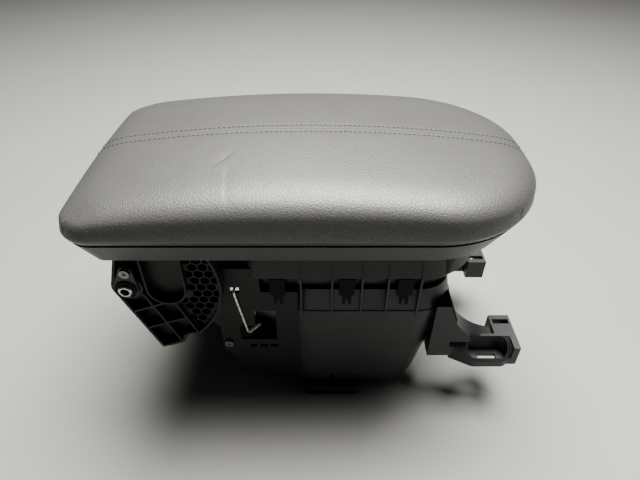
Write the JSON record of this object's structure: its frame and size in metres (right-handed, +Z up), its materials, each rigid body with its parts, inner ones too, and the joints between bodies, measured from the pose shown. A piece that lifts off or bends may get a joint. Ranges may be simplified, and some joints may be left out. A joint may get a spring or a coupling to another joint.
{
  "type": "centre console armrest unit",
  "caption": "Car centre console unit: padded armrest lid hinged on honeycomb sectors over a deep moulded storage bin with slotted mounting arms.",
  "frame": {"origin": "on the floor under the lid's centre, on the bin's flat bottom", "axes": "+X along the lid from its hinge to its free end, +Z up, -Y the side with the detent spring"},
  "size_m": [0.34, 0.191, 0.236],
  "materials": {
    "leather": "grained",
    "band_plastic": "matte",
    "black_plastic": "moulded",
    "hidden_plastic": "moulded",
    "washer_plastic": "moulded",
    "rubber": "matte",
    "steel": "zinc",
    "clip_steel": "black"
  },
  "bodies": {
    "base": {"bin_body": "black_plastic", "bin_mat": "rubber", "hinge_bracket_near": "black_plastic", "hinge_bracket_far": "black_plastic", "hinge_bracket_screws": "steel", "hinge_pin": "steel", "pin_clips": "steel", "hinge_washers": "washer_plastic", "detent_spring": "steel", "front_mount_near": "black_plastic", "front_mount_far": "black_plastic", "front_mount_screws": "steel", "rim_clips_near": "clip_steel", "rim_clips_far": "clip_steel", "rim_bumpers": "rubber"},
    "lid": {"armrest_pad": "leather", "pad_carrier": "hidden_plastic", "lid_shell": "band_plastic", "lid_screws": "steel", "hinge_sector_near": "black_plastic", "hinge_sector_far": "black_plastic", "sector_screws": "steel", "hinge_bushes": "black_plastic", "bush_screws": "steel", "guide_cones": "rubber"}
  },
  "joints": [
    {"name": "lid_hinge", "type": "hinge", "parent": "base", "child": "lid", "pos_m": [-0.135, 0, 0.146], "axis": [0, -1, 0], "range_deg": [0, 75]}
  ]
}
